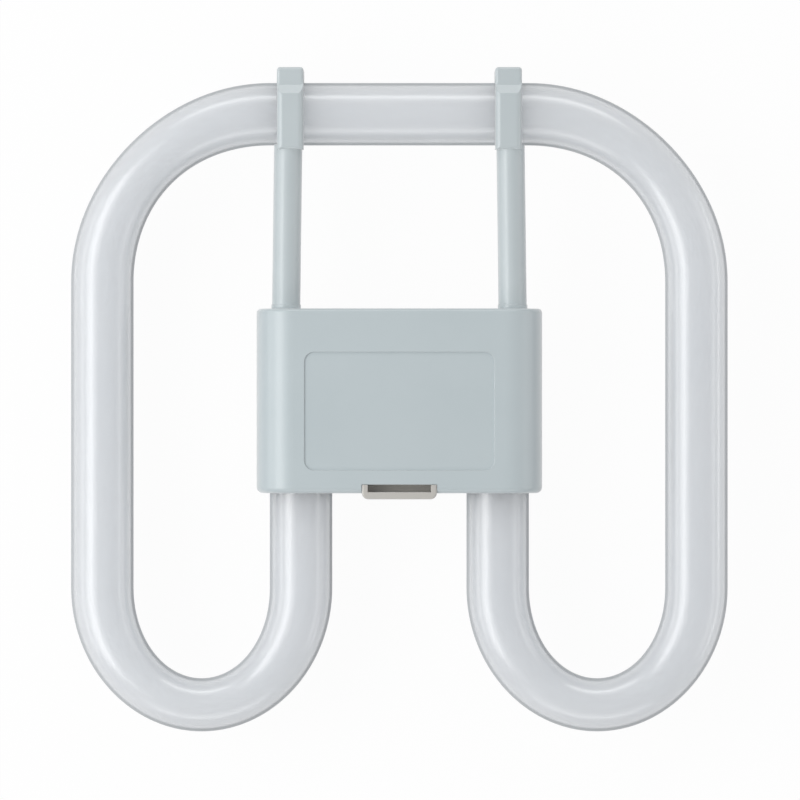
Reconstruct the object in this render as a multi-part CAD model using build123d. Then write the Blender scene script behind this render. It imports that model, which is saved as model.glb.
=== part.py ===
from build123d import *
import math
import os

os.makedirs("parts", exist_ok=True)

# All sizes are in millimetres.
# X runs across the lamp, Y from the U bends to the hooks, Z from the rear rim to the front.
# The origin is at the middle of the outline, on the plane of the rear rim.

# Outline of the whole lamp, and how far a cut runs past the face it opens
overall_w = 205.0
overall_h = 207.0
overcut = 1.0

# Glass tube
tube_d = 19.5
leg_inset = 13.85
corner_r = 52.3
corner_flat = 1.6
bend_rise = 36.6
bend_flat = 2.9
bend_sections = 6
tube_end_y = 12.0
end_round = 3.6
tip_d = 4.0
tip_len = 3.0
tip_round = 1.6
lead_in_d = 0.8
lead_in_len = 3.0
lead_in_pitch = 10.0

# Cap, made of a front cover and a rear base that meet at the tube's middle plane
cap_w = 89.1
cap_top = 28.45
cap_bottom = -29.05
wall = 1.8
front_gap = 0.95
back_gap = 1.35
boss_h = 7.6
side_r = 11.5
rear_r = 7.0
top_edge_r = 1.3
bottom_edge_r = 1.9
entry_gap = 0.35

# Blank panel sunk in the cover's face
panel_w = 59.1
panel_h = 36.8
panel_y = -3.5
panel_r = 3.1
panel_depth = 0.4

# Lip round the base's rim, inside the cover
lip_t = 1.0
lip_h = 2.0
fit_gap = 0.15

# Posts that join the two shells near the top wall
post_x = 15.8
post_inset = 3.65
post_d = 4.6
spigot_d = 2.4
spigot_len = 3.0

# Lampholder boss and its recess
boss_w = 30.0
boss_top = 18.2
boss_r = 4.0
rim_edge_r = 0.8
recess_w = 20.5
recess_top = 14.5
recess_depth = 11.5
recess_r = 1.5
recess_wall = 1.6
key_w = 2.4
key_proud = 1.3
key_y = -9.0

# Release loop at the lower edge, with a pocket from the front and a latch pocket from the rear
loop_w = 23.3
loop_proud = 1.85
loop_wall = 2.2
loop_r = 2.0
loop_edge_r = 0.6
loop_rise = 0.25
loop_gap = 0.08
slot_w = 19.7
slot_h = 2.3
slot_depth = 7.0
pocket_web = 2.0
inner_wall = 1.1
window_w = 10.0
window_low = 3.5
window_high = 8.5

# Contact pins
pin_d = 2.35
pin_pitch = 8.0
pin_y = 5.0
pin_len = 7.0
pin_tip_r = 0.7
pin_shank_d = 2.8
pin_hole_gap = 0.1
pin_flange_d = 4.8
pin_flange_t = 0.8
pin_tail_d = 1.8
pin_tail_len = 2.5

# Cradles and cement beds for the tube's ends
cradle_low = -2.0
cradle_high = 9.0
cradle_wall = 1.5
cement_t = 0.8
cement_gap = 0.05

# Support arms
arm_inset = 9.25
knee_lean = 0.7
hook_lean = 1.35
arm_d = 8.8
arm_seat = 4.1
collar_h = 1.2
collar_proud = 0.2
neck_w = 6.0
neck_t = 7.4
head_w = 8.8
head_len = 3.0
head_t = 7.4
arm_gap = 0.1

# Hooks at the arms' ends
hook_w = 8.3
hook_top = 4.55
hook_gap = 0.15
strap_t = 2.8
strap_edge_r = 1.9
hook_below = 1.5
hook_front_drop = 1.5
bevel_len = 2.8
bevel_start = 6.0
lip_reach = 7.2
lip_back = 9.0
heel_z = 3.8
hook_end_r = 1.0
rod_step = 0.5
crown_r = 1.0

# Glow switch, capacitor, ferrules and leads
bottle_d = 9.0
bottle_len = 22.0
bottle_dome_r = 3.6
bottle_shoulder_r = 1.35
bottle_end_y = -1.0
bottle_seat = 1.0
bottle_wire_pitch = 3.0
bare_wire_d = 0.7
wire_root = 1.0
bare_bend = 1.0
bottle_wire_y = 1.5
cap_box_w = 11.0
cap_box_len = 12.0
cap_box_t = 5.0
cap_box_end_y = -2.0
cap_box_r = 1.0
cap_leg_pitch = 7.5
cap_leg_y = 0.4
rest_gap = 0.2
bottle_rib_t = 1.6
bottle_rib_w = 7.0
bottle_rib_rise = 1.6
bottle_rib_inset = 5.5
ferrule_x = 8.7
ferrule_d = 3.0
ferrule_y = 4.0
ferrule_len = 6.0
wire_split = 0.7
lead_d = 1.6
lead_y = 18.8
lead_bend = 1.8
rise_len = 4.7
high_lead_rise = 4.0
drop_y = 14.2

# Levels and places that follow from the sizes above
tube_r = tube_d / 2
plate_in = boss_h + wall
tube_z = plate_in + back_gap + tube_r
cover_in = tube_z + tube_r + front_gap
cap_front = cover_in + wall
outer_leg_x = overall_w / 2 - tube_r
inner_leg_x = cap_w / 2 - leg_inset
bend_x = (outer_leg_x + inner_leg_x) / 2
bend_half = (outer_leg_x - inner_leg_x) / 2
bend_thick = tube_d - bend_flat
bend_y = bend_thick / 2 - overall_h / 2 + bend_rise
top_run_y = overall_h / 2 - hook_top - tube_r
loop_bottom = cap_bottom - loop_proud
slot_bottom = loop_bottom + loop_wall
slot_top = slot_bottom + slot_h
recess_bottom = slot_top + inner_wall
loop_front = cap_front + loop_rise
recess_floor = recess_depth + recess_wall
bottle_z = recess_floor + bottle_seat + bottle_d / 2
pin_tail_z = recess_floor + pin_flange_t + pin_tail_len
lead_in_y = tube_end_y + lead_in_len
hook_front = tube_z + tube_r + hook_gap + strap_t
arm_foot_x = cap_w / 2 - arm_inset
arm_foot_z = tube_z + arm_seat
hook_x = arm_foot_x - hook_lean


def block(x0, x1, y0, y1, z0, z1):
    """Box between two corners."""
    middle = Pos((x0 + x1) / 2, (y0 + y1) / 2, (z0 + z1) / 2)
    return middle * Box(abs(x1 - x0), y1 - y0, z1 - z0)


def wide_block(width, y0, y1, z0, z1):
    """Box centred across the lamp."""
    return block(-width / 2, width / 2, y0, y1, z0, z1)


def rod_x(y, z, radius, x0, x1):
    """Round rod along X."""
    return Pos((x0 + x1) / 2, y, z) * Rot(0, 90, 0) * Cylinder(radius, x1 - x0)


def rod_y(x, z, radius, y0, y1):
    """Round rod along Y."""
    return Pos(x, (y0 + y1) / 2, z) * Rot(90, 0, 0) * Cylinder(radius, y1 - y0)


def rod_z(x, y, radius, z0, z1):
    """Round rod along Z."""
    return Pos(x, y, (z0 + z1) / 2) * Cylinder(radius, z1 - z0)


def both(maker):
    """What a maker gives for the left side and for the right side, fused."""
    return maker(-1) + maker(1)


def wire(points, radii, diameter):
    """Round wire along straight runs joined by arcs."""
    path = FilletPolyline(*points, radius=radii)
    start = Plane(origin=path @ 0, z_dir=path % 0)
    return sweep(start * Circle(diameter / 2), path=path)


def tube_ring(path, share, thick):
    """Section of the glass at a share of a bend's path, thick in the plane of the bend."""
    plane = Plane(origin=path @ share, x_dir=(0, 0, 1), z_dir=path % share)
    return plane * (Ellipse(tube_r, thick / 2) if thick != tube_d else Circle(tube_r))


def tube_bend(path, flattening):
    """Bent run of glass, drawn thinner towards the middle of the bend."""
    rings = []
    for step in range(bend_sections + 1):
        share = step / bend_sections
        thick = tube_d - flattening * round(math.sin(math.pi * share), 9) ** 2
        rings.append(tube_ring(path, share, thick))
    return sweep(rings, path=path, multisection=True)


def inner_leg(side):
    """Inner leg with its rounded seal, pumping tip and two lead-in wires."""
    x = side * inner_leg_x
    root = tube_end_y - end_round
    leg = rod_y(x, tube_z, tube_r, bend_y, tube_end_y)
    leg = fillet(leg.edges().sort_by(Axis.Y)[-1], end_round)
    tip = rod_y(x, tube_z, tip_d / 2, root, tube_end_y + tip_len)
    leg = leg + fillet(tip.edges().sort_by(Axis.Y)[-1], tip_round)
    for offset in (-lead_in_pitch / 2, lead_in_pitch / 2):
        leg = leg + rod_y(x + offset, tube_z, lead_in_d / 2, root, lead_in_y)
    return leg


def tube_half(side):
    """Half of the tube: wide corner, outer leg, U bend and inner leg."""
    corner_y = top_run_y - corner_r
    corner_at = (side * (outer_leg_x - corner_r), corner_y)
    corner = CenterArc(corner_at, corner_r, 90 if side < 0 else 0, 90)
    u_bend = EllipticalCenterArc(
        (side * bend_x, bend_y), bend_half, bend_rise, start_angle=180, arc_size=180
    )
    at_tube = Pos(0, 0, tube_z)
    outer_leg = rod_y(side * outer_leg_x, tube_z, tube_r, bend_y, corner_y)
    bends = tube_bend(at_tube * corner, corner_flat) + tube_bend(at_tube * u_bend, bend_flat)
    return outer_leg + bends + inner_leg(side)


def discharge_tube():
    """The whole glass tube as one sealed solid."""
    run = outer_leg_x - corner_r
    return both(tube_half) + rod_x(top_run_y, tube_z, tube_r, -run, run)


def shell_block(inset, z0, z1, radius, rounded):
    """Block of the cap's outline less an inset, with its two edges along Y on one face rounded."""
    profile = Rectangle(cap_w - 2 * inset, z1 - z0)
    profile = fillet(profile.vertices().group_by(Axis.Y)[rounded], radius)
    low = cap_bottom + inset
    plane = Plane(origin=(0, low, (z0 + z1) / 2), x_dir=(1, 0, 0), z_dir=(0, -1, 0))
    return extrude(plane * profile, amount=cap_top - inset - low, dir=(0, 1, 0))


def soften_ends(body):
    """Round the outline of the cap's top and bottom, apart from the rim where the shells meet."""
    for end, radius in ((-1, top_edge_r), (0, bottom_edge_r)):
        edges = body.faces().sort_by(Axis.Y)[end].edges()
        outer = [edge for edge in edges if abs(edge.center().Z - tube_z) > 0.01]
        body = fillet(outer, radius)
    return body


def tube_entries():
    """Round holes for the two inner legs through the cap's bottom wall and the lip behind it."""
    radius = tube_r + entry_gap
    low, high = cap_bottom - wall, cap_bottom + wall + fit_gap + lip_t + wall
    return both(lambda side: rod_y(side * inner_leg_x, tube_z, radius, low, high))


def arm_root(side, grow):
    """Neck in the cap's top wall and wider head behind it, grown by a gap."""
    x = side * arm_foot_x
    low = tube_z + arm_gap - grow
    inside = cap_top - wall - arm_gap + grow
    neck = block(
        x - neck_w / 2 - grow, x + neck_w / 2 + grow,
        inside - head_len, cap_top + grow,
        low, low + neck_t + 2 * grow,
    )
    head = block(
        x - head_w / 2 - grow, x + head_w / 2 + grow,
        inside - head_len - 2 * grow, inside,
        low, low + head_t + 2 * grow,
    )
    return neck + head


def post_places():
    """Places of the two posts that join the shells."""
    y = cap_top - wall - post_inset
    return [(-post_x, y), (post_x, y)]


def loop_outline(grow):
    """Outline of the release loop with rounded lower corners, grown by a gap."""
    low, high = loop_bottom - grow, slot_top + grow
    outline = Rectangle(loop_w + 2 * grow, high - low)
    outline = fillet(outline.vertices().group_by(Axis.Y)[0], loop_r + grow)
    return Pos(0, (low + high) / 2) * outline


def capacitor_rib():
    """Rib inside the cover that keeps the capacitor on the glow switch."""
    low = bottle_z + bottle_d / 2 + rest_gap + cap_box_t + rest_gap
    middle = cap_box_end_y - cap_box_len / 2
    return wide_block(cap_box_w, middle - wall / 2, middle + wall / 2, low, cover_in)


def front_cover():
    """Front shell of the cap, with its blank panel and the notches for tube, arms and loop."""
    cover = soften_ends(shell_block(0, tube_z, cap_front, side_r, -1))
    cover = cover - shell_block(wall, tube_z - overcut, cover_in, side_r - wall, -1)
    for x, y in post_places():
        cover = cover + rod_z(x, y, post_d / 2, tube_z, cover_in)
        cover = cover - rod_z(x, y, spigot_d / 2 + fit_gap, tube_z, tube_z + spigot_len + fit_gap)
    cover = cover + capacitor_rib()
    panel = Pos(0, panel_y, cap_front - panel_depth) * RectangleRounded(panel_w, panel_h, panel_r)
    cover = cover - extrude(panel, amount=panel_depth + overcut)
    loop_room = extrude(Pos(0, 0, tube_z - overcut) * loop_outline(loop_gap), amount=cap_front)
    return cover - tube_entries() - both(neck_notch) - loop_room


def neck_notch(side):
    """Notch in the cover's top wall, open towards the base, that an arm's neck lies in."""
    half = neck_w / 2 + arm_gap
    x = side * arm_foot_x
    high = tube_z + neck_t + 2 * arm_gap
    return block(x - half, x + half, cap_top - 2 * wall, cap_top + overcut, tube_z - overcut, high)


def lip_ring():
    """Ring along the inside of the base's rim that locates the cover."""
    reach = cap_w / 2 - wall
    low, high = cap_bottom + wall, cap_top - wall
    gap, inner = fit_gap, fit_gap + lip_t
    root = wide_block(2 * reach, low, high, tube_z - lip_h, tube_z)
    tongue = wide_block(2 * (reach - gap), low + gap, high - gap, tube_z, tube_z + lip_h)
    hollow = wide_block(
        2 * (reach - inner), low + inner, high - inner, tube_z - lip_h, tube_z + lip_h
    )
    return root + tongue - hollow


def cradle(side):
    """Half cup on the base's plate for one end of the tube, without its seat."""
    x = side * inner_leg_x
    outer = tube_r + cement_t + cradle_wall
    cup = rod_y(x, tube_z, outer, cradle_low, cradle_high)
    foot = block(
        x - outer / 2, x + outer / 2, cradle_low, cradle_high, plate_in - wall / 2, tube_z
    )
    keep = block(x - outer, x + outer, cradle_low, cradle_high, plate_in - wall / 2, tube_z)
    return (cup + foot) & keep


def cradle_seat(side):
    """Room for a tube end and its cement in a cradle."""
    radius = tube_r + cement_t
    return rod_y(side * inner_leg_x, tube_z, radius, cradle_low - overcut, cradle_high + overcut)


def boss_outline():
    """Outline of the lampholder boss."""
    outline = Rectangle(boss_w, boss_top - cap_bottom)
    outline = fillet(outline.vertices().group_by(Axis.Y)[-1], boss_r)
    return Pos(0, (boss_top + cap_bottom) / 2) * outline


def boss_block():
    """Boss up to the inside of the base's plate, with a soft rim."""
    boss = extrude(boss_outline(), amount=plate_in)
    return fillet(boss.faces().sort_by(Axis.Z)[0].edges(), rim_edge_r)


def boss_hollow():
    """Space inside the boss's walls, open to the inside of the cap."""
    return extrude(Pos(0, 0, wall) * offset(boss_outline(), -wall), amount=plate_in)


def recess_block(grow, depth):
    """The lampholder recess up to a depth, wider than the space itself by a wall."""
    low, high = recess_bottom - grow, recess_top + grow
    outline = RectangleRounded(recess_w + 2 * grow, high - low, recess_r + grow)
    return extrude(Pos(0, (low + high) / 2) * outline, amount=depth)


def recess_key(side):
    """Rib on a long side of the recess that keys the lampholder."""
    half = recess_w / 2
    x0, x1 = side * (half - key_proud), side * (half + recess_wall / 2)
    return block(x0, x1, key_y - key_w / 2, key_y + key_w / 2, wall, recess_floor)


def bottle_ribs():
    """Two shaped ribs on the recess floor that the glow switch lies on."""
    high = bottle_z - bottle_d / 2 + bottle_rib_rise
    low_end = bottle_end_y - bottle_len
    ribs = Part()
    for y in (low_end + bottle_rib_inset, bottle_end_y - bottle_rib_inset):
        low_y, high_y = y - bottle_rib_t / 2, y + bottle_rib_t / 2
        ribs = ribs + wide_block(bottle_rib_w, low_y, high_y, recess_floor - wall / 2, high)
    return ribs - rod_y(0, bottle_z, bottle_d / 2 + fit_gap, low_end, bottle_end_y)


def release_loop():
    """Block at the lower edge whose front end shows as a loop, without its pockets."""
    loop = extrude(loop_outline(0), amount=loop_front)
    front = loop.faces().sort_by(Axis.Z)[-1].edges().sort_by(Axis.Y)
    loop = fillet(front[:-1], loop_edge_r)
    backing = wide_block(loop_w, slot_top, recess_bottom, wall, cover_in - fit_gap)
    return loop + backing


def release_pockets():
    """Slot in the loop's front, latch pocket from the rear and its window into the recess."""
    floor = loop_front - slot_depth
    slot = wide_block(slot_w, slot_bottom, slot_top, floor, loop_front + overcut)
    rear = wide_block(slot_w, slot_bottom, slot_top, -overcut, floor - pocket_web)
    window_y = (slot_top - overcut, recess_bottom + overcut)
    return slot + rear + wide_block(window_w, *window_y, window_low, window_high)


def pin_places():
    """Distance of each contact pin from the lamp's middle plane."""
    return (-pin_pitch / 2, pin_pitch / 2)


def rear_base():
    """Rear shell of the cap with the lampholder recess and the release loop."""
    tray = soften_ends(shell_block(0, boss_h, tube_z, rear_r, 0))
    tray = tray - shell_block(wall, plate_in, tube_z + overcut, rear_r - wall, 0)
    base = tray + lip_ring() + both(cradle) + boss_block() - boss_hollow()
    for x, y in post_places():
        base = base + rod_z(x, y, post_d / 2, plate_in - wall / 2, tube_z)
        base = base + rod_z(x, y, spigot_d / 2, tube_z, tube_z + spigot_len)
    base = base + recess_block(recess_wall, recess_floor) + bottle_ribs() + release_loop()
    base = base - recess_block(0, recess_depth) - release_pockets()
    base = base - both(cradle_seat) - tube_entries() - both(lambda side: arm_root(side, arm_gap))
    for x in pin_places():
        base = base - rod_z(x, pin_y, pin_shank_d / 2 + pin_hole_gap, recess_depth, recess_floor)
    return base + both(recess_key)


def contact_pin(side):
    """Turned contact pin with a flange on the recess floor and a solder tail."""
    x = side * pin_pitch / 2
    tip = recess_depth - pin_len
    shaft = rod_z(x, pin_y, pin_d / 2, tip, recess_depth)
    shaft = fillet(shaft.edges().sort_by(Axis.Z)[0], pin_tip_r)
    shank = rod_z(x, pin_y, pin_shank_d / 2, recess_depth, recess_floor)
    flange_top = recess_floor + pin_flange_t
    flange = rod_z(x, pin_y, pin_flange_d / 2, recess_floor, flange_top)
    return shaft + shank + flange + rod_z(x, pin_y, pin_tail_d / 2, flange_top, pin_tail_z)


def tube_cement(side):
    """Bed of cement between a tube end and its cradle."""
    x = side * inner_leg_x
    outer = tube_r + cement_t - cement_gap
    bed = rod_y(x, tube_z, outer, cradle_low, cradle_high)
    low, high = cradle_low - overcut, cradle_high + overcut
    bed = bed - rod_y(x, tube_z, tube_r + cement_gap, low, high)
    return bed & block(x - outer, x + outer, cradle_low, cradle_high, plate_in, tube_z)


def hook_profile():
    """Side view of the hook on the plane X = 0, drawn in Y and Z, before the tube is cut out of it."""
    low = top_run_y - tube_r - hook_below
    bevel = top_run_y + bevel_start
    front, crown = hook_front, hook_front - hook_front_drop
    high, back = overall_h / 2, tube_z - lip_back
    lip, heel = top_run_y + lip_reach, tube_z + heel_z
    points = [
        (low, heel), (low, front), (bevel, front), (bevel + bevel_len, crown),
        (high, crown), (high, back), (lip, back), (lip, heel),
    ]
    outline = make_face(Polyline(*points, close=True))
    columns = outline.vertices().group_by(Axis.X)
    ends = [columns[end].sort_by(Axis.Y)[-1] for end in (0, -1)]
    return Plane.YZ * fillet(ends, hook_end_r)


def arm_hook(side):
    """Hook that snaps over the top run of the tube, with soft front edges and crown."""
    x = side * hook_x
    profile = Pos(x - hook_w / 2, 0, 0) * hook_profile()
    hook = extrude(profile, amount=hook_w, dir=(1, 0, 0))
    hook = fillet(hook.edges().filter_by(Axis.Z).group_by(Axis.Y)[-1], crown_r)
    section = Rectangle(hook_w, hook_front)
    section = fillet(section.vertices().group_by(Axis.Y)[-1], strap_edge_r)
    plane = Plane(origin=(x, 0, hook_front / 2), x_dir=(1, 0, 0), z_dir=(0, -1, 0))
    return hook & extrude(plane * section, amount=overall_h, dir=(0, 1, 0))


def arm_rod(side):
    """Round rod that leans inwards and forwards from the cap to the hook."""
    foot = Vector(side * arm_foot_x, cap_top, arm_foot_z)
    knee_z = hook_front - rod_step - arm_d / 2
    knee = Vector(side * (arm_foot_x - knee_lean), top_run_y - tube_r, knee_z)
    below = foot - (knee - foot).normalized() * arm_d
    rod = sweep(Plane(origin=below, z_dir=knee - foot) * Circle(arm_d / 2), path=Line(below, knee))
    above_cap = block(-overall_w, overall_w, cap_top, overall_h, 0, 2 * hook_front)
    return rod & above_cap


def arm_collar(side):
    """Low collar that seats the rod on the cap's top wall."""
    radius = arm_d / 2 + collar_proud
    return rod_y(side * arm_foot_x, arm_foot_z, radius, cap_top, cap_top + collar_h)


def support_arm(side):
    """One moulded arm with its root in the cap and its hook round the tube."""
    arm = arm_rod(side) + arm_hook(side) + arm_collar(side) + arm_root(side, 0)
    x = side * hook_x
    return arm - rod_x(top_run_y, tube_z, tube_r + hook_gap, x - hook_w, x + hook_w)


def glow_starter():
    """Glow switch bottle with its two wires bent out to the ferrules."""
    low = bottle_end_y - bottle_len
    bottle = rod_y(0, bottle_z, bottle_d / 2, low, bottle_end_y)
    bottle = fillet(bottle.edges().sort_by(Axis.Y)[0], bottle_dome_r)
    bottle = fillet(bottle.edges().sort_by(Axis.Y)[-1], bottle_shoulder_r)
    return bottle + both(bottle_wire)


def bottle_wire(side):
    """Wire from the glow switch to a ferrule."""
    x, z = side * bottle_wire_pitch / 2, bottle_z - wire_split
    points = [
        (x, bottle_end_y - wire_root, z), (x, bottle_wire_y, z),
        (side * ferrule_x, bottle_wire_y, z), (side * ferrule_x, ferrule_y, z),
    ]
    return wire(points, (bare_bend, bare_bend), bare_wire_d)


def starter_capacitor():
    """Film capacitor on top of the glow switch, with its two legs bent down to the ferrules."""
    low_z = bottle_z + bottle_d / 2 + rest_gap
    body = wide_block(
        cap_box_w, cap_box_end_y - cap_box_len, cap_box_end_y, low_z, low_z + cap_box_t
    )
    return fillet(body.edges().filter_by(Axis.Z), cap_box_r) + both(capacitor_leg)


def capacitor_leg(side):
    """Leg from the capacitor to a ferrule."""
    x, z = side * cap_leg_pitch / 2, bottle_z + bottle_d / 2 + rest_gap + cap_box_t / 2
    end_x, end_z = side * ferrule_x, bottle_z + wire_split
    points = [
        (x, cap_box_end_y - wire_root, z), (x, cap_leg_y, z), (end_x, cap_leg_y, z),
        (end_x, cap_leg_y, end_z), (end_x, ferrule_y, end_z),
    ]
    return wire(points, (bare_bend, bare_bend, bare_bend), bare_wire_d)


def splice_ferrule(side):
    """Crimp sleeve where a tube lead, a starter wire and a capacitor leg meet."""
    x = side * ferrule_x
    return rod_y(x, bottle_z, ferrule_d / 2, ferrule_y, ferrule_y + ferrule_len)


def pin_lead(side):
    """Insulated lead from the tube's inner lead-in wire to a contact pin."""
    x = side * (inner_leg_x - lead_in_pitch / 2)
    pin_x = side * pin_pitch / 2
    points = [
        (x, lead_in_y, tube_z), (x, lead_y, tube_z), (pin_x, lead_y, tube_z),
        (pin_x, pin_y, tube_z), (pin_x, pin_y, pin_tail_z),
    ]
    return wire(points, (lead_bend, lead_bend, lead_bend), lead_d)


def starter_lead(side):
    """Insulated lead from the tube's outer lead-in wire to a ferrule."""
    x = side * (inner_leg_x + lead_in_pitch / 2)
    end_x = side * ferrule_x
    high = tube_z + high_lead_rise
    points = [
        (x, lead_in_y, tube_z), (x, lead_y, tube_z), (x - side * rise_len, lead_y, high),
        (end_x, lead_y, high), (end_x, drop_y, bottle_z),
        (end_x, ferrule_y + ferrule_len, bottle_z),
    ]
    return wire(points, (lead_bend, lead_bend, lead_bend, lead_bend), lead_d)


def save(name, shape):
    """Write one piece to its own file."""
    export_step(shape, f"parts/{name}.step")


def save_pair(name, maker):
    """Write a piece for the left side and one for the right side."""
    save(f"{name}_left", maker(-1))
    save(f"{name}_right", maker(1))


save("discharge_tube", discharge_tube())
save("front_cover", front_cover())
save("rear_base", rear_base())
save("glow_starter", glow_starter())
save("starter_capacitor", starter_capacitor())
save_pair("support_arm", support_arm)
save_pair("contact_pin", contact_pin)
save_pair("tube_cement", tube_cement)
save_pair("splice_ferrule", splice_ferrule)
save_pair("pin_lead", pin_lead)
save_pair("starter_lead", starter_lead)
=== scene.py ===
"""Looks of a flat square fluorescent lamp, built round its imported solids."""

import logging
import math
from dataclasses import dataclass, field
from enum import Enum
from typing import Any

import bpy
from mathutils import Matrix, Vector


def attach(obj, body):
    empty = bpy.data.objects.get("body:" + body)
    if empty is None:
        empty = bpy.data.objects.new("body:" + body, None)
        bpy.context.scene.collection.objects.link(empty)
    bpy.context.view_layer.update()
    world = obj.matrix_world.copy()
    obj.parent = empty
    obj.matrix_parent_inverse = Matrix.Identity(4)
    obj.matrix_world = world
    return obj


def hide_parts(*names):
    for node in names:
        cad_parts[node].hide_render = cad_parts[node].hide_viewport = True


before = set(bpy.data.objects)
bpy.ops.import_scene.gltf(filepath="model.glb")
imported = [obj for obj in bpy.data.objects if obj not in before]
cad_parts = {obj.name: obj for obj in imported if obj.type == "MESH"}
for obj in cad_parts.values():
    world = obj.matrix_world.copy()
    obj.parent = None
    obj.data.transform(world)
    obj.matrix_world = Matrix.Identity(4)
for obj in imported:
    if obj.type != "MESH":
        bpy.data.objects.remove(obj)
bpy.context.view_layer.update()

log = logging.getLogger("lamp")

Colour = tuple[float, float, float]
Point = tuple[float, float, float]
Pair = tuple[float, float]
Paint = tuple[float, float, float, float]

WHITE: Paint = (1.0, 1.0, 1.0, 1.0)
NOISE_ROUGHNESS: float = 0.55
EDGE_SAMPLES: int = 6
EDGE_TURN: Pair = (0.01, 0.2)
WIRE_POINTS: int = 16


class Side(Enum):
    """Half of the lamp that a piece belongs to, and its sign along X."""

    LEFT = -1
    RIGHT = 1

    @property
    def word(self) -> str:
        """Word that ends the names of the pieces on this side."""
        return self.name.lower()


class Maths(Enum):
    """Operations that the shader expressions use."""

    ADD = "ADD"
    SUBTRACT = "SUBTRACT"
    MULTIPLY = "MULTIPLY"
    POWER = "POWER"
    MAXIMUM = "MAXIMUM"
    SINE = "SINE"


class Signal:
    """Output socket of a shader graph, with arithmetic that adds the Math nodes."""

    def __init__(self, graph: "Graph", socket: bpy.types.NodeSocket) -> None:
        """Wrap a socket of a graph."""
        self.graph = graph
        self.socket = socket

    def maths(self, kind: Maths, first: Any, second: Any = None) -> "Signal":
        """Add a Math node.

        Args:
            kind: Operation of the node.
            first: First value, a signal or a number.
            second: Second value, or None where the operation takes one.

        Returns:
            The node's result.
        """
        values = {0: first} if second is None else {0: first, 1: second}
        return self.graph.add("ShaderNodeMath", {"operation": kind.value}, values)

    def __add__(self, other: Any) -> "Signal":
        """Sum with a signal or a number."""
        return self.maths(Maths.ADD, self, other)

    __radd__ = __add__

    def __sub__(self, other: Any) -> "Signal":
        """Difference from a signal or a number."""
        return self.maths(Maths.SUBTRACT, self, other)

    def __rsub__(self, other: Any) -> "Signal":
        """A number less this signal."""
        return self.maths(Maths.SUBTRACT, other, self)

    def __mul__(self, other: Any) -> "Signal":
        """Product with a signal or a number."""
        return self.maths(Maths.MULTIPLY, self, other)

    __rmul__ = __mul__

    def __pow__(self, power: float) -> "Signal":
        """This signal raised to a power."""
        return self.maths(Maths.POWER, self, power)

    def at_least(self, other: Any) -> "Signal":
        """Larger of this signal and another value."""
        return self.maths(Maths.MAXIMUM, self, other)

    def sine(self) -> "Signal":
        """Sine of this signal."""
        return self.maths(Maths.SINE, self)

    def ramp(self, low: float, high: float) -> "Signal":
        """Smooth step that is 0 up to one value and 1 from another.

        Args:
            low: Value at which the step starts.
            high: Value at which it ends, which may be the smaller one.

        Returns:
            The step, from 0 to 1.
        """
        ends = (low, high, 0.0, 1.0) if low < high else (high, low, 1.0, 0.0)
        sockets = dict(zip(("From Min", "From Max", "To Min", "To Max"), ends))
        settings = {"interpolation_type": "SMOOTHSTEP", "clamp": True}
        return self.graph.add("ShaderNodeMapRange", settings, {"Value": self, **sockets})


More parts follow.
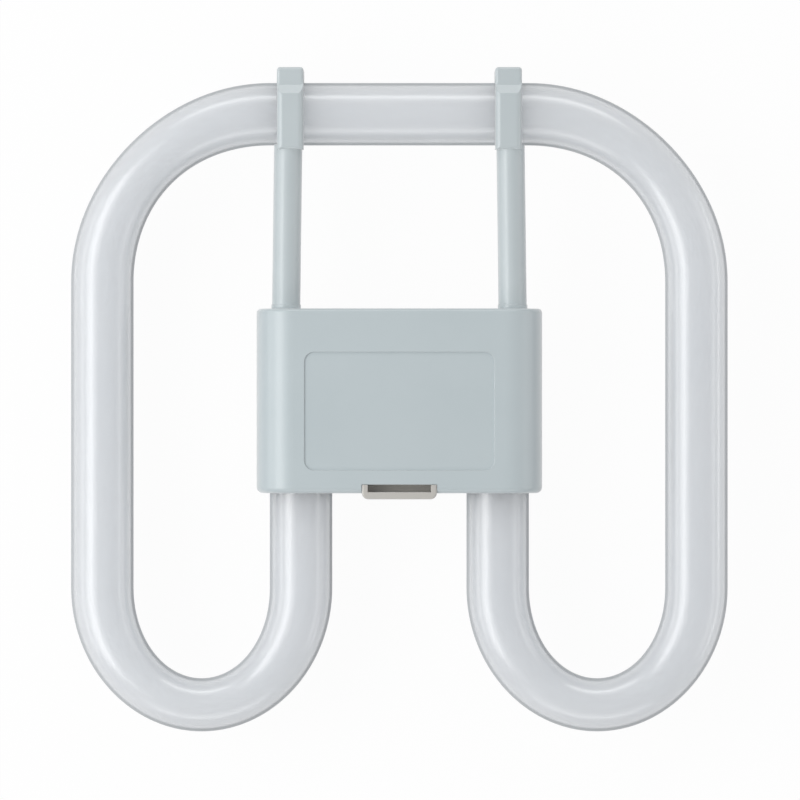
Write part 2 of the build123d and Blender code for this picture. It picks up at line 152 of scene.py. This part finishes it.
class Graph:
    """Node tree of a material or of the world, with one way to add a node."""

    def __init__(self, tree: bpy.types.NodeTree) -> None:
        """Take over a tree and clear it."""
        self.tree = tree
        self.tree.nodes.clear()

    def node(self, kind: str, settings: dict[str, Any], sockets: dict[Any, Any]) -> bpy.types.Node:
        """Add a node.

        Args:
            kind: Type name of the node.
            settings: Properties of the node, set before its sockets.
            sockets: Value, signal or bare socket for each input, by name or number.

        Returns:
            The new node.
        """
        made = self.tree.nodes.new(kind)
        for name, value in settings.items():
            setattr(made, name, value)
        for name, value in sockets.items():
            source = value.socket if isinstance(value, Signal) else value
            if isinstance(source, bpy.types.NodeSocket):
                self.tree.links.new(source, made.inputs[name])
            else:
                made.inputs[name].default_value = source
        return made

    def add(
        self, kind: str, settings: dict[str, Any], sockets: dict[Any, Any], output: Any = 0
    ) -> Signal:
        """Add a node and take one of its outputs, by name or number."""
        return Signal(self, self.node(kind, settings, sockets).outputs[output])

    def place(self) -> Signal:
        """Point on the surface, in the lamp's frame."""
        return self.add("ShaderNodeTexCoord", {}, {}, "Object")

    def split(self, vector: Signal) -> tuple[Signal, Signal, Signal]:
        """Parts of a vector.

        Args:
            vector: The vector.

        Returns:
            Its X, Y and Z.
        """
        made = self.node("ShaderNodeSeparateXYZ", {}, {"Vector": vector})
        x, y, z = (Signal(self, socket) for socket in made.outputs)
        return x, y, z

    def noise(self, scale: float, detail: float) -> Signal:
        """Smooth noise round one half.

        Args:
            scale: Waves in a metre.
            detail: Octaves of finer noise.

        Returns:
            The noise, from 0 to 1.
        """
        sockets = {
            "Vector": self.place(),
            "Scale": scale,
            "Detail": detail,
            "Roughness": NOISE_ROUGHNESS,
        }
        return self.add("ShaderNodeTexNoise", {"noise_dimensions": "3D"}, sockets, "Fac")

    def cells(self, scale: float) -> Signal:
        """Distance to the nearest point of a cell pattern.

        Args:
            scale: Cells in a metre.

        Returns:
            The distance.
        """
        settings = {"feature": "F1", "voronoi_dimensions": "3D"}
        sockets = {"Vector": self.place(), "Scale": scale}
        return self.add("ShaderNodeTexVoronoi", settings, sockets, "Distance")

    def blend(self, share: Any, first: Any, second: Any) -> Signal:
        """Colour between two colours.

        Args:
            share: Share of the second colour, a signal or a number.
            first: Colour at a share of 0.
            second: Colour at a share of 1.

        Returns:
            The mixed colour.
        """
        colours = [c if isinstance(c, Signal) else (*c, 1.0) for c in (first, second)]
        settings = {"data_type": "RGBA", "blend_type": "MIX", "clamp_factor": True}
        return self.add("ShaderNodeMix", settings, {0: share, 6: colours[0], 7: colours[1]}, 2)

    def bump(self, height: Signal, depth: float, normal: Signal | None = None) -> Signal:
        """Normal of a surface with fine relief.

        Args:
            height: Height of the relief, from 0 to 1.
            depth: Height in metres that a height of 1 stands for.
            normal: Normal that the relief starts from, or None for the surface's own.

        Returns:
            The normal.
        """
        sockets: dict[str, Any] = {"Strength": 1.0, "Distance": depth, "Height": height}
        if normal is not None:
            sockets["Normal"] = normal
        return self.add("ShaderNodeBump", {}, sockets)

    def soft_edges(self, radius: float) -> tuple[Signal, Signal]:
        """Round the edges of a hard mesh in its shading.

        Args:
            radius: Radius of the round, in metres.

        Returns:
            The rounded normal, and a mask that is 1 on the edges and 0 on the faces.
        """
        rounded = self.add("ShaderNodeBevel", {"samples": EDGE_SAMPLES}, {"Radius": radius})
        plain = self.add("ShaderNodeNewGeometry", {}, {}, "Normal")
        settings = {"operation": "DOT_PRODUCT"}
        agree = self.add("ShaderNodeVectorMath", settings, {0: rounded, 1: plain}, "Value")
        return rounded, (1.0 - agree).ramp(*EDGE_TURN)

    def ray(self, kind: str) -> Signal:
        """Mask of one kind of ray, by the name of its output."""
        return self.add("ShaderNodeLightPath", {}, {}, kind)

    def principled(self, sockets: dict[str, Any]) -> Signal:
        """Principled shader with the sockets given."""
        return self.add("ShaderNodeBsdfPrincipled", {}, sockets)

    def mix(self, share: Any, first: Signal, second: Signal) -> Signal:
        """Mix of two shaders by the share of the second."""
        return self.add("ShaderNodeMixShader", {}, {0: share, 1: first, 2: second})

    def finish(self, shader: Signal, kind: str = "ShaderNodeOutputMaterial") -> None:
        """Send a shader to the tree's output."""
        self.node(kind, {}, {"Surface": shader})


class Finish:
    """A finish that makes one material."""

    title: str

    def shade(self, graph: Graph) -> Signal:
        """Build the shader of this finish in a graph."""
        raise NotImplementedError

    def material(self) -> bpy.types.Material:
        """Make the material.

        Returns:
            The new material, named after the finish.
        """
        made = bpy.data.materials.new(self.title)
        made.use_nodes = True
        graph = Graph(made.node_tree)
        graph.finish(self.shade(graph))
        return made


@dataclass(frozen=True)
class CoatedGlass(Finish):
    """Clear glass with an even white coating on its inside."""

    title: str = "coated_glass"
    coating: Colour = (0.538, 0.572, 0.618)
    thin_coating: Colour = (0.52, 0.555, 0.603)
    # painted shade: darker colour that the tube's outline takes by viewing angle, a dark rim
    # painted at its edges
    wall: Colour = (0.48, 0.505, 0.525)
    drift_scale: float = 28.0
    dust_scale: float = 2400.0
    dust_depth: float = 0.00001
    ripple_scale: float = 55.0
    ripple_depth: float = 0.00004
    scatter_depth: float = 0.08
    gloss_roughness: float = 0.21
    gloss_ior: float = 1.8
    wall_roughness: float = 0.35
    wall_ior: float = 1.45
    wall_specular: float = 0.1
    # painted shade: span of Layer Weight facing over which the dark rim is painted
    rim: Pair = (0.5, 0.68)

    def shade(self, graph: Graph) -> Signal:
        """Build the coating behind clear glass, with a darker rim painted at the outline by
        viewing angle as painted shade.

        Args:
            graph: Node tree of the material.

        Returns:
            The finished shader.
        """
        drift = graph.noise(self.drift_scale, 3.0).ramp(0.35, 0.7)
        dust = graph.noise(self.dust_scale, 2.0)
        share = drift * 0.75 + dust * 0.25
        ripple = graph.bump(graph.noise(self.ripple_scale, 1.0), self.ripple_depth)
        coated = graph.principled(
            {
                "Base Color": graph.blend(share, self.coating, self.thin_coating),
                "Roughness": 0.55 + 0.1 * dust,
                "Normal": graph.bump(dust, self.dust_depth, ripple),
                "Subsurface Weight": 1.0,
                "Subsurface Radius": (1.0, 1.0, 1.0),
                "Subsurface Scale": self.scatter_depth,
                "IOR": self.wall_ior,
                "Specular IOR Level": self.wall_specular,
                "Coat Weight": 1.0,
                "Coat Roughness": self.gloss_roughness,
                "Coat IOR": self.gloss_ior,
            }
        )
        # painted shade: a darker shader mixed in towards the outline by Layer Weight, a dark rim
        # painted by viewing angle
        painted_dark_rim = graph.principled(
            {
                "Base Color": (*self.wall, 1.0),
                "Roughness": self.wall_roughness,
                "Normal": ripple,
                "IOR": self.wall_ior,
                "Specular IOR Level": self.wall_specular,
            }
        )
        facing = graph.add("ShaderNodeLayerWeight", {}, {"Blend": 0.5}, "Facing")
        return graph.mix(facing.ramp(*self.rim), coated, painted_dark_rim)


@dataclass(frozen=True)
class BareGlass(Finish):
    """Uncoated glass of a sealed tip."""

    title: str = "bare_glass"
    tint: Colour = (0.80, 0.86, 0.86)
    pale_tint: Colour = (0.9, 0.94, 0.94)
    ripple_scale: float = 420.0
    ripple_depth: float = 0.00005
    ior: float = 1.5
    clearness: float = 0.9

    def shade(self, graph: Graph) -> Signal:
        """Build clear glass with soft flow ripples.

        Args:
            graph: Node tree of the material.

        Returns:
            The finished shader.
        """
        ripple = graph.noise(self.ripple_scale, 2.0)
        return graph.principled(
            {
                "Base Color": graph.blend(ripple * 0.3, self.tint, self.pale_tint),
                "Roughness": 0.03 + 0.05 * ripple,
                "Normal": graph.bump(ripple, self.ripple_depth),
                "IOR": self.ior,
                "Transmission Weight": self.clearness,
            }
        )


@dataclass(frozen=True)
class MouldedPlastic(Finish):
    """Satin moulded plastic with a fine spark-eroded grain and slightly polished edges."""

    title: str
    colour: Colour
    shaded: Colour
    edge_colour: Colour
    roughness: float = 0.30
    flow_scale: float = 38.0
    rub_scale: float = 90.0
    grain_scale: float = 4200.0
    grain_depth: float = 0.000012
    edge_radius: float = 0.00035
    ior: float = 1.5
    gloss: float = 0.8
    sheen_roughness: float = 0.5

    def shade(self, graph: Graph) -> Signal:
        """Build the plastic with drifts of colour, grain and soft edges.

        Args:
            graph: Node tree of the material.

        Returns:
            The finished shader.
        """
        rounded, edges = graph.soft_edges(self.edge_radius)
        flow = graph.noise(self.flow_scale, 3.0).ramp(0.3, 0.75)
        grain = graph.noise(self.grain_scale, 2.0)
        rub = graph.noise(self.rub_scale, 2.0).ramp(0.4, 0.8)
        body = graph.blend(flow, self.colour, self.shaded)
        matt = self.roughness + 0.05 * (grain - 0.5) - 0.015 * rub - 0.08 * edges
        return graph.principled(
            {
                "Base Color": graph.blend(edges * 0.5, body, self.edge_colour),
                "Roughness": matt,
                "Normal": graph.bump(grain, self.grain_depth, rounded),
                "IOR": self.ior,
                "Specular IOR Level": self.gloss,
                "Sheen Weight": 1.0,
                "Sheen Roughness": self.sheen_roughness,
            }
        )


@dataclass(frozen=True)
class TurnedBrass(Finish):
    """Turned brass with fine rings and a light tarnish."""

    title: str = "turned_brass"
    bright: Colour = (0.80, 0.66, 0.38)
    tarnished: Colour = (0.50, 0.38, 0.20)
    tarnish_scale: float = 900.0
    ring_rate: float = 42000.0
    ring_depth: float = 0.000006

    def shade(self, graph: Graph) -> Signal:
        """Build the metal with its rings and tarnish.

        Args:
            graph: Node tree of the material.

        Returns:
            The finished shader.
        """
        _, _, height = graph.split(graph.place())
        rings = (height * self.ring_rate).sine() * 0.5 + 0.5
        tarnish = graph.noise(self.tarnish_scale, 4.0).ramp(0.45, 0.75)
        return graph.principled(
            {
                "Base Color": graph.blend(tarnish * 0.6, self.bright, self.tarnished),
                "Metallic": 1.0,
                "Roughness": 0.24 + 0.2 * tarnish,
                "Normal": graph.bump(rings, self.ring_depth),
            }
        )


@dataclass(frozen=True)
class TinnedMetal(Finish):
    """Dull tinned metal with small dents."""

    title: str = "tinned_metal"
    bright: Colour = (0.72, 0.72, 0.71)
    dull: Colour = (0.48, 0.48, 0.47)
    patch_scale: float = 700.0
    dent_scale: float = 1500.0
    dent_depth: float = 0.00002

    def shade(self, graph: Graph) -> Signal:
        """Build the metal with its dull patches and dents.

        Args:
            graph: Node tree of the material.

        Returns:
            The finished shader.
        """
        patch = graph.noise(self.patch_scale, 3.0).ramp(0.4, 0.7)
        return graph.principled(
            {
                "Base Color": graph.blend(patch, self.bright, self.dull),
                "Metallic": 1.0,
                "Roughness": 0.32 + 0.2 * patch,
                "Normal": graph.bump(graph.noise(self.dent_scale, 2.0), self.dent_depth),
            }
        )


@dataclass(frozen=True)
class Wired(Finish):
    """A body's finish that changes to tinned metal on the wires that leave it."""

    title: str
    body: Finish
    wires: Finish
    wires_from_y: float
    border: float = 0.00005

    def shade(self, graph: Graph) -> Signal:
        """Build both finishes and part them across Y.

        Args:
            graph: Node tree of the material.

        Returns:
            The finished shader.
        """
        _, along, _ = graph.split(graph.place())
        share = along.ramp(self.wires_from_y - self.border, self.wires_from_y + self.border)
        return graph.mix(share, self.body.shade(graph), self.wires.shade(graph))


@dataclass(frozen=True)
class DippedResin(Finish):
    """Glossy dipped resin of a small capacitor."""

    title: str = "dipped_resin"
    colour: Colour = (0.52, 0.35, 0.08)
    deep: Colour = (0.36, 0.22, 0.05)
    run_scale: float = 160.0
    pit_scale: float = 1100.0
    relief: float = 0.00012

    def shade(self, graph: Graph) -> Signal:
        """Build the resin with runs and small pits.

        Args:
            graph: Node tree of the material.

        Returns:
            The finished shader.
        """
        runs = graph.noise(self.run_scale, 3.0)
        pits = graph.cells(self.pit_scale).ramp(0.05, 0.3)
        return graph.principled(
            {
                "Base Color": graph.blend(runs.ramp(0.35, 0.7), self.colour, self.deep),
                "Roughness": 0.18 + 0.15 * runs,
                "Normal": graph.bump(runs * 0.8 + pits * 0.2, self.relief),
            }
        )


@dataclass(frozen=True)
class WovenSheath(Finish):
    """White woven sheath of a lead."""

    title: str = "woven_sheath"
    thread: Colour = (0.82, 0.82, 0.79)
    gap: Colour = (0.52, 0.51, 0.48)
    thread_rate: float = 9000.0
    thread_depth: float = 0.00009

    def shade(self, graph: Graph) -> Signal:
        """Build the crossing threads of the weave.

        Args:
            graph: Node tree of the material.

        Returns:
            The finished shader.
        """
        x, y, z = graph.split(graph.place())
        one = ((x + y + z) * self.thread_rate).sine()
        two = ((x - y - z) * self.thread_rate).sine()
        weave = (one * two) * 0.5 + 0.5
        return graph.principled(
            {
                "Base Color": graph.blend(weave.ramp(0.55, 0.1), self.thread, self.gap),
                "Roughness": 0.75 + 0.15 * weave,
                "Normal": graph.bump(weave, self.thread_depth),
            }
        )


@dataclass(frozen=True)
class Cement(Finish):
    """Dull cement with grains and pores."""

    title: str = "cement"
    colour: Colour = (0.68, 0.65, 0.58)
    pore: Colour = (0.42, 0.39, 0.34)
    grain_scale: float = 1800.0
    pore_scale: float = 900.0
    relief: float = 0.00015

    def shade(self, graph: Graph) -> Signal:
        """Build the grains and the pores.

        Args:
            graph: Node tree of the material.

        Returns:
            The finished shader.
        """
        grain = graph.noise(self.grain_scale, 4.0)
        pores = graph.cells(self.pore_scale).ramp(0.3, 0.08)
        return graph.principled(
            {
                "Base Color": graph.blend(pores * 0.7 + grain * 0.3, self.colour, self.pore),
                "Roughness": 0.85 + 0.1 * grain,
                "Normal": graph.bump(grain - pores * 0.6, self.relief),
            }
        )


@dataclass(frozen=True)
class Station:
    """Section of the tube: its centre, the way the tube runs there and its thickness."""

    centre: Point
    along: Point
    thick: float
    radius: float

    def ring(self, around: int) -> list[Point]:
        """Points round the section.

        Args:
            around: Number of points.

        Returns:
            The points, in the order that faces join them.
        """
        centre = Vector(self.centre)
        across = Vector((self.along[1], -self.along[0], 0.0)) * (self.thick / 2)
        points = []
        for step in range(around):
            turn = 2 * math.pi * step / around
            rise = Vector((0.0, 0.0, self.radius * math.sin(turn)))
            points.append(tuple(centre + across * math.cos(turn) + rise))
        return points

    def mirrored(self) -> "Station":
        """The same section on the other half, for a path that runs the other way."""
        x, y, z = self.centre
        return Station((-x, y, z), (self.along[0], -self.along[1], 0.0), self.thick, self.radius)


class Skin:
    """Mesh data of a piece, made of skins that join rings of points."""

    def __init__(self) -> None:
        """Start with no points."""
        self.points: list[Point] = []
        self.faces: list[tuple[int, ...]] = []
        self.slots: list[int] = []

    def add(self, rings: list[list[Point]], slot: int) -> None:
        """Join rings into a closed skin.

        Args:
            rings: Rings of points, all with the same number.
            slot: Material slot of the faces.
        """
        start, around = len(self.points), len(rings[0])
        for ring in rings:
            self.points.extend(ring)
        for row in range(len(rings) - 1):
            for step in range(around):
                a = start + row * around + step
                b = start + row * around + (step + 1) % around
                self.faces.append((a, b, b + around, a + around))
        last = start + (len(rings) - 1) * around
        self.faces.append(tuple(reversed(range(start, start + around))))
        self.faces.append(tuple(range(last, last + around)))
        self.slots.extend([slot] * (len(self.faces) - len(self.slots)))

    def piece(self, name: str, finishes: list[bpy.types.Material]) -> bpy.types.Object:
        """Make the object.

        Args:
            name: Name of the piece.
            finishes: Its materials, in the order of the slots.

        Returns:
            The object, shaded smooth and linked to the scene.
        """
        mesh = bpy.data.meshes.new(name)
        mesh.from_pydata(self.points, [], self.faces)
        mesh.polygons.foreach_set("material_index", self.slots)
        mesh.shade_smooth()
        for finish in finishes:
            mesh.materials.append(finish)
        made = bpy.data.objects.new(name, mesh)
        bpy.context.scene.collection.objects.link(made)
        return made


@dataclass
class GlassTube:
    """The bent glass tube, with its drawn bends, sealed ends and lead-in wires."""

    radius: float = 0.00975
    outer_leg_x: float = 0.09275
    inner_leg_x: float = 0.0307
    top_run_y: float = 0.0892
    plane_z: float = 0.0205
    corner_radius: float = 0.0523
    corner_flattening: float = 0.0016
    bend_rise: float = 0.0366
    bend_flattening: float = 0.0029
    bend_y: float = -0.0586
    end_y: float = 0.0120
    end_round: float = 0.0036
    tip_radius: float = 0.0020
    tip_round: float = 0.0016
    tip_end_y: float = 0.0150
    lead_pitch: float = 0.0100
    lead_radius: float = 0.0004
    lead_end_y: float = 0.0150
    around: int = 72
    corner_steps: int = 44
    bend_steps: int = 76
    run_steps: int = 10
    round_steps: int = 8

    def flat_station(self, x: float, y: float, along: Pair) -> Station:
        """Full round section at a place on the tube's middle plane."""
        return Station((x, y, self.plane_z), (*along, 0.0), 2 * self.radius, self.radius)

    def run(self, start: Pair, end: Pair) -> list[Station]:
        """Straight run of full sections.

        Args:
            start: X and Y of its start.
            end: X and Y of its end.

        Returns:
            The sections, without the last one, which belongs to what follows.
        """
        length = math.dist(start, end)
        along = ((end[0] - start[0]) / length, (end[1] - start[1]) / length)
        stations = []
        for step in range(self.run_steps):
            share = step / self.run_steps
            x = start[0] + share * (end[0] - start[0])
            y = start[1] + share * (end[1] - start[1])
            stations.append(self.flat_station(x, y, along))
        return stations

    def bend(
        self, centre: Pair, across: float, rise: float, turns: Pair, flattening: float, steps: int
    ) -> list[Station]:
        """Bend along an elliptical arc, drawn thinner towards its middle.

        Args:
            centre: X and Y of the ellipse's centre.
            across: Half of the ellipse's size along X.
            rise: Half of its size along Y.
            turns: Angles at the start and end of the arc, in degrees.
            flattening: How much thinner the glass is at the middle of the bend.
            steps: Number of sections, less one.

        Returns:
            The sections, without the last one.
        """
        first, last = (math.radians(turn) for turn in turns)
        places, ways = [], []
        for step in range(steps + 1):
            angle = first + (last - first) * step / steps
            cosine, sine = math.cos(angle), math.sin(angle)
            places.append((centre[0] + across * cosine, centre[1] + rise * sine))
            way = Vector((across * sine, -rise * cosine)).normalized()
            ways.append(way if last < first else -way)
        walked = [0.0]
        for one, two in zip(places, places[1:]):
            walked.append(walked[-1] + math.dist(one, two))
        stations = []
        for (x, y), way, length in zip(places[:-1], ways, walked):
            thinner = flattening * math.sin(math.pi * length / walked[-1]) ** 2
            thick = 2 * self.radius - thinner
            stations.append(Station((x, y, self.plane_z), (way.x, way.y, 0.0), thick, self.radius))
        return stations

    def sealed_end(self) -> list[Station]:
        """Rounded end of the right inner leg, with its sealed tip.

        Returns:
            The sections, from the leg to the end of the tip.
        """
        stations = []
        shapes = [
            (self.radius, self.end_round, self.end_y),
            (self.tip_radius, self.tip_round, self.tip_end_y),
        ]
        for radius, rounding, end in shapes:
            for step in range(self.round_steps + 1):
                turn = math.pi / 2 * step / self.round_steps
                shrunk = radius - rounding * (1 - math.cos(turn))
                y = end - rounding * (1 - math.sin(turn))
                centre = (self.inner_leg_x, y, self.plane_z)
                stations.append(Station(centre, (0.0, 1.0, 0.0), 2 * shrunk, shrunk))
        return stations

    def half(self) -> list[Station]:
        """Right half of the tube.

        Returns:
            Its sections, from the middle of the top run to the sealed tip.
        """
        corner = (self.outer_leg_x - self.corner_radius, self.top_run_y - self.corner_radius)
        u_bend = ((self.outer_leg_x + self.inner_leg_x) / 2, self.bend_y)
        reach = (self.outer_leg_x - self.inner_leg_x) / 2
        leg_end = (self.inner_leg_x, self.end_y - self.end_round)
        return (
            self.run((0.0, self.top_run_y), (corner[0], self.top_run_y))
            + self.bend(
                corner, self.corner_radius, self.corner_radius, (90, 0),
                self.corner_flattening, self.corner_steps,
            )
            + self.run((self.outer_leg_x, corner[1]), (self.outer_leg_x, self.bend_y))
            + self.bend(
                u_bend, reach, self.bend_rise, (0, -180), self.bend_flattening, self.bend_steps
            )
            + self.run((self.inner_leg_x, self.bend_y), leg_end)
            + self.sealed_end()
        )

    def lead_in(self, x: float) -> list[list[Point]]:
        """Lead-in wire through a sealed end.

        Args:
            x: Place of the wire across the lamp.

        Returns:
            The wire's two rings of points.
        """
        places = (self.end_y - self.end_round, self.lead_end_y)
        wire = [
            Station((x, y, self.plane_z), (0.0, 1.0, 0.0), 2 * self.lead_radius, self.lead_radius)
            for y in places
        ]
        return [station.ring(WIRE_POINTS) for station in wire]

    def build(self) -> bpy.types.Object:
        """Build and dress the tube.

        Returns:
            The tube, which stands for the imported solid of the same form.
        """
        half = self.half()
        stations = [station.mirrored() for station in reversed(half[1:])] + half
        skin = Skin()
        skin.add([station.ring(self.around) for station in stations], 0)
        for side in Side:
            for offset in (-self.lead_pitch / 2, self.lead_pitch / 2):
                skin.add(self.lead_in(side.value * self.inner_leg_x + offset), 1)
        tube = skin.piece("glass_tube", [CoatedGlass().material(), TinnedMetal().material()])
        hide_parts("discharge_tube")
        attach(tube, "root")
        return tube


def dress(node: str, material: bpy.types.Material) -> bpy.types.Object:
    """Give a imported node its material.

    Args:
        node: Name of the node.
        material: Its new material.

    Returns:
        The node's object.
    """
    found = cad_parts[node]
    found.data.materials.clear()
    found.data.materials.append(material)
    return found


@dataclass
class Cap:
    """The two shells of the moulded cap."""

    cover: MouldedPlastic = field(
        default_factory=lambda: MouldedPlastic(
            "cover_plastic", (0.522, 0.593, 0.618), (0.504, 0.576, 0.601), (0.572, 0.628, 0.648)
        )
    )
    base: MouldedPlastic = field(
        default_factory=lambda: MouldedPlastic(
            "base_plastic", (0.535, 0.518, 0.484), (0.515, 0.497, 0.462), (0.60, 0.585, 0.55)
        )
    )

    def build(self) -> list[bpy.types.Object]:
        """Dress the two shells.

        Returns:
            The front cover and the rear base.
        """
        return [
            dress("front_cover", self.cover.material()),
            dress("rear_base", self.base.material()),
        ]


@dataclass
class SupportArms:
    """The two moulded arms that hold the tube's top run."""

    plastic: MouldedPlastic = field(
        default_factory=lambda: MouldedPlastic(
            "arm_plastic", (0.535, 0.597, 0.617), (0.515, 0.578, 0.599), (0.588, 0.64, 0.66)
        )
    )

    def build(self) -> list[bpy.types.Object]:
        """Dress the two arms.

        Returns:
            The left arm and the right arm.
        """
        material = self.plastic.material()
        return [dress(f"support_arm_{side.word}", material) for side in Side]


@dataclass
class Electrics:
    """Contact pins, starter, capacitor, ferrules and leads."""

    bottle_end_y: float = -0.001
    capacitor_end_y: float = -0.002

    def build(self) -> list[bpy.types.Object]:
        """Dress each electrical piece.

        Returns:
            The dressed nodes.
        """
        tinned = TinnedMetal()
        starter = Wired("starter_glass", BareGlass(), tinned, self.bottle_end_y)
        capacitor = Wired("capacitor_body", DippedResin(), tinned, self.capacitor_end_y)
        dressed = [
            dress("glow_starter", starter.material()),
            dress("starter_capacitor", capacitor.material()),
        ]
        pairs = {
            "contact_pin": TurnedBrass().material(),
            "splice_ferrule": tinned.material(),
            "pin_lead": WovenSheath().material(),
            "starter_lead": WovenSheath().material(),
            "tube_cement": Cement().material(),
        }
        for name, material in pairs.items():
            dressed += [dress(f"{name}_{side.word}", material) for side in Side]
        return dressed


@dataclass(frozen=True)
class StripBank:
    """Strip lamps on one side of the object, stacked like the bands of one soft box."""

    name: str
    azimuth: float
    strips: tuple[Pair, ...]
    width: float = 0.21
    length: float = 1.1
    distance: float = 1.0

    def build(self, target: Vector) -> list[bpy.types.Object]:
        """Hang the strips.

        Args:
            target: Point that they face.

        Returns:
            The lamps, one for each pair of tilt and watts.
        """
        return [self.hang(target, tilt, watts) for tilt, watts in self.strips]

    def hang(self, target: Vector, tilt: float, watts: float) -> bpy.types.Object:
        """Hang one strip.

        Args:
            target: Point that it faces.
            tilt: Angle down from straight above the target, in degrees.
            watts: Power of the strip.

        Returns:
            The lamp.
        """
        around, down = math.radians(self.azimuth), math.radians(tilt)
        outwards = Vector((math.cos(around), math.sin(around), 0.0))
        away = outwards * math.sin(down) + Vector((0.0, 0.0, math.cos(down)))
        crossways = Vector((-outwards.y, outwards.x, 0.0))
        light = bpy.data.lights.new(f"{self.name}_{tilt:.0f}", "AREA")
        light.shape = "RECTANGLE"
        light.size, light.size_y = self.width, self.length
        light.energy = watts
        lamp = bpy.data.objects.new(light.name, light)
        turn = Matrix((crossways.cross(away), crossways, away)).transposed().to_4x4()
        lamp.matrix_world = Matrix.Translation(target + away * self.distance) @ turn
        lamp.visible_camera = False
        bpy.context.scene.collection.objects.link(lamp)
        return lamp


@dataclass
class Studio:
    """Pale floor, soft lamps, white surroundings and the camera."""

    target: Point = (0.0, 0.0, 0.0205)
    camera_height: float = 2.4
    view_width: float = 0.2498
    view_shift: Pair = (0.00019, -0.00003)
    sensor_width: float = 36.0
    farthest: float = 20.0
    fill: float = 0.375
    floor_white: float = 0.95
    floor_bounce: float = 0.45
    floor_half: float = 4.0
    floor_drop: float = 0.0002
    floor_fade: Pair = (0.3, 1.2)
    paper: Paint = (0.96, 0.96, 0.96, 1.0)
    banks: tuple[StripBank, ...] = (
        StripBank("left", 180.0, ((30, 0.8), (42, 2.3), (54, 1.8), (66, 0.3), (78, 0.9))),
        StripBank("right", 0.0, ((66, 0.75), (90, 1.6))),
        StripBank("far", 90.0, ((54, 0.4), (66, 2.0))),
        StripBank("near", 270.0, ((54, 0.4), (66, 1.1))),
    )

    def world(self) -> None:
        """Make the surroundings, white where they are seen or mirrored and soft elsewhere."""
        world = bpy.data.worlds.new("surroundings")
        world.use_nodes = True
        bpy.context.scene.world = world
        graph = Graph(world.node_tree)
        seen = self.seen(graph)
        strength = self.fill + (1.0 - self.fill) * seen
        sky = graph.add("ShaderNodeBackground", {}, {"Color": WHITE, "Strength": strength})
        graph.finish(sky, "ShaderNodeOutputWorld")

    @staticmethod
    def seen(graph: Graph) -> Signal:
        """Mask of the rays that show the background.

        Args:
            graph: Node tree of the world.

        Returns:
            1 for a ray that looks at it, is mirrored to it or passes to it through glass, else 0.
        """
        camera, glossy, through = (
            graph.ray(kind) for kind in ("Is Camera Ray", "Is Glossy Ray", "Is Transmission Ray")
        )
        return camera.at_least(glossy).at_least(through)

    def floor(self) -> bpy.types.Object:
        """Lay the pale floor, which keeps the lamp's shadow and is open from below.

        Returns:
            The floor.
        """
        half = self.floor_half
        mesh = bpy.data.meshes.new("floor")
        square = ((-half, -half), (half, -half), (half, half), (-half, half))
        corners = [(x, y, -self.floor_drop) for x, y in square]
        mesh.from_pydata(corners, [], [(0, 1, 2, 3)])
        material = bpy.data.materials.new("pale_floor")
        material.use_nodes = True
        graph = Graph(material.node_tree)
        x, y, _ = graph.split(graph.place())
        away = ((x * x + y * y) ** 0.5).ramp(*self.floor_fade)
        glow = 1.0 - self.floor_bounce * graph.ray("Is Diffuse Ray")
        white = graph.add("ShaderNodeEmission", {}, {"Color": WHITE, "Strength": glow})
        paper = graph.add("ShaderNodeBsdfDiffuse", {}, {"Color": self.paper})
        top = graph.mix(self.floor_white + (1.0 - self.floor_white) * away, paper, white)
        under = graph.add("ShaderNodeNewGeometry", {}, {}, "Backfacing")
        clear = graph.add("ShaderNodeBsdfTransparent", {}, {})
        graph.finish(graph.mix(under, top, clear))
        mesh.materials.append(material)
        floor = bpy.data.objects.new("floor", mesh)
        bpy.context.scene.collection.objects.link(floor)
        return floor

    def camera(self) -> bpy.types.Object:
        """Hang the camera straight above the lamp.

        Returns:
            The camera.
        """
        data = bpy.data.cameras.new("camera")
        data.sensor_width = self.sensor_width
        data.lens = data.sensor_width * (self.camera_height - self.target[2]) / self.view_width
        data.clip_end = self.farthest
        camera = bpy.data.objects.new("camera", data)
        camera.location = (*self.view_shift, self.camera_height)
        bpy.context.scene.collection.objects.link(camera)
        bpy.context.scene.camera = camera
        return camera

    def build(self) -> None:
        """Set up the whole studio."""
        self.world()
        self.floor()
        for bank in self.banks:
            bank.build(Vector(self.target))
        self.camera()
        bpy.context.scene.view_settings.view_transform = "Standard"


def main() -> None:
    """Build the lamp and the studio, and report each piece."""
    logging.basicConfig(level=logging.INFO, format="%(message)s")
    pieces = [GlassTube().build(), *Cap().build(), *SupportArms().build(), *Electrics().build()]
    for piece in pieces:
        log.info("%s: %d faces", piece.name, len(piece.data.polygons))
    Studio().build()


if __name__ == "__main__":
    main()
